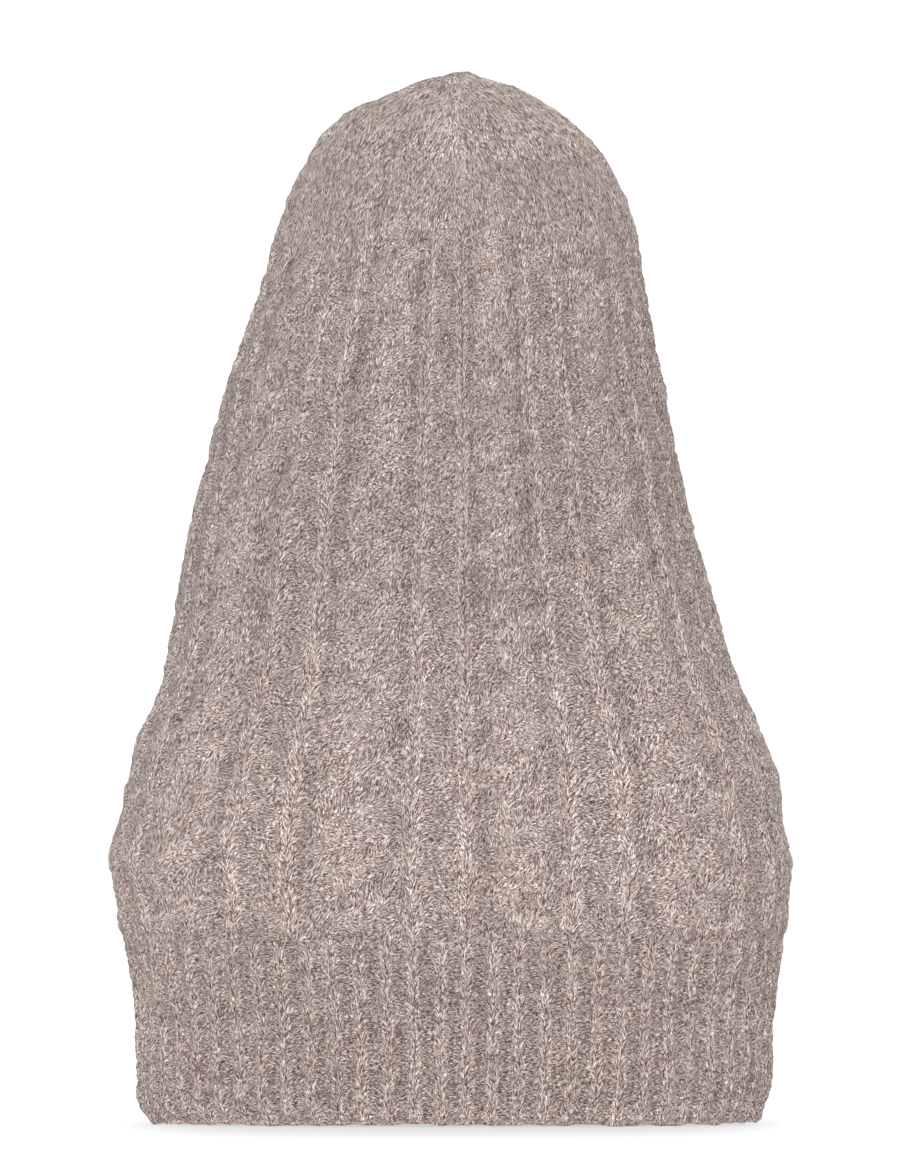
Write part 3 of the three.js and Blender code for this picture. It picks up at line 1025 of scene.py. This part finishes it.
def nap_tree():
    """Scatters fibres over the outside of a knit piece, along its lay."""
    tree = bpy.data.node_groups.new("nap_over_knit", "GeometryNodeTree")
    face = tree.interface
    sockets = (
        ("Cloth", "NodeSocketGeometry"),
        ("Fibre", "NodeSocketObject"),
        ("Wool", "NodeSocketMaterial"),
        ("Density", "NodeSocketFloat"),
        ("Front Share", "NodeSocketFloat"),
        ("Length", "NodeSocketFloat"),
        ("Width", "NodeSocketFloat"),
        ("Standing Share", "NodeSocketFloat"),
        ("Turned Half", "NodeSocketFloat"),
        ("Chance", "NodeSocketInt"),
    )
    for label, kind in sockets:
        face.new_socket(name=label, in_out="INPUT", socket_type=kind)
    face.new_socket(name="Nap", in_out="OUTPUT", socket_type="NodeSocketGeometry")
    weaver = Weaver(tree)
    given = weaver.node("NodeGroupInput").outputs

    def draw(low, high, shift, kind="FLOAT"):
        """A random value for each point from low to high, set apart from other draws by its shift."""
        chance = Amount(weaver, given["Chance"]) + shift
        feeds = {"Min": low, "Max": high, "Seed": chance}
        return weaver.out("FunctionNodeRandomValue", "Value", {"data_type": kind}, feeds)

    def read(label, kind="FLOAT"):
        return weaver.out("GeometryNodeInputNamedAttribute", "Attribute", {"data_type": kind},
                          {"Name": label})

    place = weaver.out("GeometryNodeInputPosition", "Position")
    parts = weaver.node("ShaderNodeSeparateXYZ", None, {"Vector": place})
    across = Amount(weaver, parts.outputs["X"])
    chosen = (read("outside") > 0.5) * (across * given["Turned Half"] > -MM * MM)
    in_front = weaver.between(parts.outputs["Y"], -0.02, 0.04)
    thinner = in_front * (1 - Amount(weaver, given["Front Share"]))
    scatter = weaver.node("GeometryNodeDistributePointsOnFaces", None, {
        "Mesh": given["Cloth"],
        "Selection": chosen,
        "Density": Amount(weaver, given["Density"]) * (1 - thinner),
        "Seed": given["Chance"],
    })
    stands = draw(0.0, 1.0, 11) < given["Standing Share"]
    aligned = weaver.out("FunctionNodeAxesToRotation", "Rotation",
                         {"primary_axis": "Z", "secondary_axis": "X"},
                         {"Primary Axis": scatter.outputs["Normal"],
                          "Secondary Axis": read("lay", "FLOAT_VECTOR")})
    swing = draw(-1.0, 1.0, 29) * (0.1 + 0.7 * read("loose"))
    sway = weaver.vector(draw(-0.5, 0.5, 23), draw(-0.32, 0.12, 27), swing)
    upright = draw((-0.6, -1.35, -1.6), (0.6, -0.35, 1.6), 31, "FLOAT_VECTOR")
    turns = weaver.out("ShaderNodeMix", "Result", {"data_type": "VECTOR"},
                       {"Factor": stands, "A": sway, "B": upright})
    turned = weaver.out("FunctionNodeRotateRotation", "Rotation", {"rotation_space": "LOCAL"}, {
        "Rotation": aligned,
        "Rotate By": weaver.out("FunctionNodeEulerToRotation", "Rotation", None, {"Euler": turns}),
    })
    length = Amount(weaver, given["Length"])
    width = Amount(weaver, given["Width"]) * (1 - 0.4 * stands)
    size = weaver.vector(length * draw(0.6, 1.45, 41), width * draw(0.7, 1.3, 43),
                         width * draw(0.7, 1.2, 47))
    fibre = weaver.out("GeometryNodeObjectInfo", "Geometry", None, {"Object": given["Fibre"]})
    fibres = weaver.out("GeometryNodeInstanceOnPoints", "Instances", None, {
        "Points": scatter.outputs["Points"],
        "Instance": fibre,
        "Rotation": turned,
        "Scale": size,
    })
    # Standing fibres are painted paler: a painted highlight on the fuzz at the edges, over each
    # fibre's own random tone.
    toned = weaver.out("GeometryNodeStoreNamedAttribute", "Geometry",
                       {"data_type": "FLOAT", "domain": "INSTANCE"},
                       {"Geometry": fibres, "Name": "tone",
                        "Value": draw(0.0, 1.0, 53) * (1 - 0.4 * stands) + 0.4 * stands})
    tinted = weaver.out("GeometryNodeStoreNamedAttribute", "Geometry",
                        {"data_type": "FLOAT", "domain": "INSTANCE"},
                        {"Geometry": toned, "Name": "tint", "Value": draw(0.0, 1.0, 59)})
    real = weaver.out("GeometryNodeRealizeInstances", "Geometry", None, {"Geometry": tinted})
    coloured = weaver.out("GeometryNodeSetMaterial", "Geometry", None,
                          {"Geometry": real, "Material": given["Wool"]})
    weaver.node("NodeGroupOutput", None, {"Nap": coloured})
    return tree


class NapGrower:
    def __init__(self):
        self.tree = nap_tree()
        self.fibre = fibre_object()
        self.wool = nap_wool()
        self.labels = {item.name: item.identifier for item in self.tree.interface.items_tree
                       if item.in_out == "INPUT"}

    def grow(self, piece, name, per_square_metre, chance, half=0.0):
        """Nap on one knit piece, or on the half of it where X has the sign of half."""
        nap = put_in_scene(name, piece.data)
        modifier = nap.modifiers.new("nap", "NODES")
        modifier.node_group = self.tree
        values = {
            "Fibre": self.fibre,
            "Wool": self.wool,
            "Density": per_square_metre,
            "Front Share": FRONT_SHARE,
            "Length": FIBRE_LENGTH * MM,
            "Width": FIBRE_WIDTH * MM,
            "Standing Share": STANDING_SHARE,
            "Turned Half": half,
            "Chance": chance,
        }
        for label, value in values.items():
            modifier[self.labels[label]] = value
        scene_now = bpy.context.evaluated_depsgraph_get()
        mesh = bpy.data.meshes.new_from_object(nap.evaluated_get(scene_now))
        mesh.name = name
        nap.modifiers.remove(modifier)
        nap.data = mesh
        return nap


crown = crown_piece()
hood = hood_piece()
hem = hem_piece()
band = band_piece()

knit_pieces = (
    (crown, "crown", "cable_knit"),
    (hood, "hood", "cable_knit"),
    (hem, "hem_rib", "rib_knit"),
    (band, "face_rib", "rib_knit"),
)
wool = knit_wool()
for piece, node, slot in knit_pieces:
    piece.data.materials.append(wool)
    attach(piece, "root")
    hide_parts(node)

grower = NapGrower()
nap_pieces = (
    (grower.grow(crown, "crown_nap", NAP_DENSITY, chance=2), "cable_knit"),
    (grower.grow(hood, "hood_nap_left", NAP_DENSITY, chance=3, half=-1.0), "cable_knit"),
    (grower.grow(hood, "hood_nap_right", NAP_DENSITY, chance=4, half=1.0), "cable_knit"),
    (grower.grow(hem, "hem_rib_nap", NAP_DENSITY, chance=5), "rib_knit"),
    (grower.grow(band, "face_rib_nap", NAP_DENSITY, chance=6), "rib_knit"),
)
for piece, slot in nap_pieces:
    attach(piece, "root")


# The floor, the surround, the lamps and the camera, in metres

FLOOR_HALF = 60
FLOOR_LEVEL = -0.4143
SHADOWED_GLOW = 0.6
FAR_GLOW = 1.04
SHADOW_HALF_WIDTH = 0.155
SHADOW_REACH = 0.7
TENT_GLOW = 0.67
TENT_SIDE_GLOW = 0.1
TENT_TOP_GLOW = 0.42
BACKDROP_GLOW = 1.3

# Soft lamps: name, place, aim, size and power
SOFTBOXES = (
    ("overhead", (-0.5, -3, 2.2), (0, 0, -0.2), (2, 1.5), 86),
    ("left", (-3.5, -1.6, -0.2), (0, 0, -0.3), (1.2, 2.4), 93),
    ("right", (3.5, -1.6, -0.2), (0, 0, -0.3), (1.2, 2.4), 126),
    ("low", (-0.2, -3.8, -0.1), (0, 0, -0.45), (3, 0.5), 80),
    ("behind", (0.1, 3, 2.2), (0, 0, -0.3), (2.0, 1.0), 122),
)

# The photograph: its size in pixels, where the hood's middle and top lie in it, and its scale
PHOTO_WIDTH = 900
PHOTO_HEIGHT = 1176
MIDDLE_PIXEL = 454
DOME_TOP_PIXEL = 76
MM_PER_PIXEL = 0.4
CAMERA_DISTANCE = 16
SENSOR = 36


def lay_floor():
    """A pale glowing floor at the hem's lower edge, with a painted shadow round the foot of the hood,
    where it glows less.
    """
    floor_mesh = bpy.data.meshes.new("floor")
    corners = [(x * FLOOR_HALF, y * FLOOR_HALF, FLOOR_LEVEL)
               for x, y in ((-1, -1), (1, -1), (1, 1), (-1, 1))]
    floor_mesh.from_pydata(corners, [], [(0, 1, 2, 3)])
    floor = put_in_scene("floor", floor_mesh)
    paper = bpy.data.materials.new("pale_floor")
    paper.use_nodes = True
    weaver = Weaver(paper.node_tree)
    place = weaver.out("ShaderNodeTexCoord", "Object")
    parts = weaver.node("ShaderNodeSeparateXYZ", None, {"Vector": place})
    # Painted shadow: the floor glows less in a soft patch round the foot of the hood, under the real
    # shadow that the lamps cast there.
    aside = Amount(weaver, parts.outputs["X"]) / SHADOW_HALF_WIDTH
    ahead = Amount(weaver, parts.outputs["Y"]) / SHADOW_REACH
    square = aside * aside
    away = square * square * square + ahead * ahead
    unshadowed_share = weaver.between(weaver.only("SQRT", away), 0.1, 1.15)
    glow = SHADOWED_GLOW + (FAR_GLOW - SHADOWED_GLOW) * unshadowed_share
    shader = weaver.node("ShaderNodeBsdfPrincipled", None, {
        "Base Color": (0.12, 0.12, 0.12, 1),
        "Roughness": 1.0,
        "Specular IOR Level": 0.0,
        "Emission Color": weaver.vector(glow, glow, glow),
        "Emission Strength": 1.0,
    })
    weaver.node("ShaderNodeOutputMaterial", None, {"Surface": shader.outputs[0]})
    floor_mesh.materials.append(paper)


def hang_tent():
    """A white tent, a little brighter overhead and at the sides than behind the camera."""
    world = bpy.data.worlds.new("white_surround")
    world.use_nodes = True
    weaver = Weaver(world.node_tree)
    direction = weaver.out("ShaderNodeTexCoord", "Generated")
    parts = weaver.node("ShaderNodeSeparateXYZ", None, {"Vector": direction})
    towards_face = Amount(weaver, parts.outputs["Y"])
    upwards = Amount(weaver, parts.outputs["Z"])
    tent = TENT_GLOW + TENT_SIDE_GLOW * weaver.between(towards_face, -0.9, 0.3)
    tent = tent + TENT_TOP_GLOW * weaver.between(upwards, 0.1, 1.0)
    seen = weaver.out("ShaderNodeLightPath", "Is Camera Ray")
    strength = tent + seen * (BACKDROP_GLOW - tent)
    background = weaver.node("ShaderNodeBackground", None,
                             {"Color": (1, 1, 1, 1), "Strength": strength})
    weaver.node("ShaderNodeOutputWorld", None, {"Surface": background.outputs[0]})
    bpy.context.scene.world = world


def set_lamps():
    for name, place, aim, size, power in SOFTBOXES:
        light = bpy.data.lights.new(name, "AREA")
        light.shape = "RECTANGLE"
        light.size, light.size_y = size
        light.energy = power
        lamp = put_in_scene(name, light)
        lamp.location = place
        lamp.rotation_euler = (Vector(aim) - Vector(place)).to_track_quat("-Z", "Y").to_euler()


def set_camera():
    """A far camera that looks level at the back of the hood and frames the photograph's pixels."""
    camera_data = bpy.data.cameras.new("camera")
    camera = put_in_scene("camera", camera_data)
    middle_x = (PHOTO_WIDTH / 2 - MIDDLE_PIXEL) * MM_PER_PIXEL
    middle_z = WALL - (PHOTO_HEIGHT / 2 - DOME_TOP_PIXEL) * MM_PER_PIXEL
    camera.location = (middle_x * MM, -CAMERA_DISTANCE, middle_z * MM)
    camera.rotation_euler = (math.pi / 2, 0, 0)
    camera_data.sensor_fit = "AUTO"
    camera_data.sensor_width = SENSOR
    camera_data.lens = SENSOR * CAMERA_DISTANCE / (PHOTO_HEIGHT * MM_PER_PIXEL * MM)
    bpy.context.scene.camera = camera
    bpy.context.scene.view_settings.view_transform = "Standard"


lay_floor()
hang_tent()
set_lamps()
set_camera()
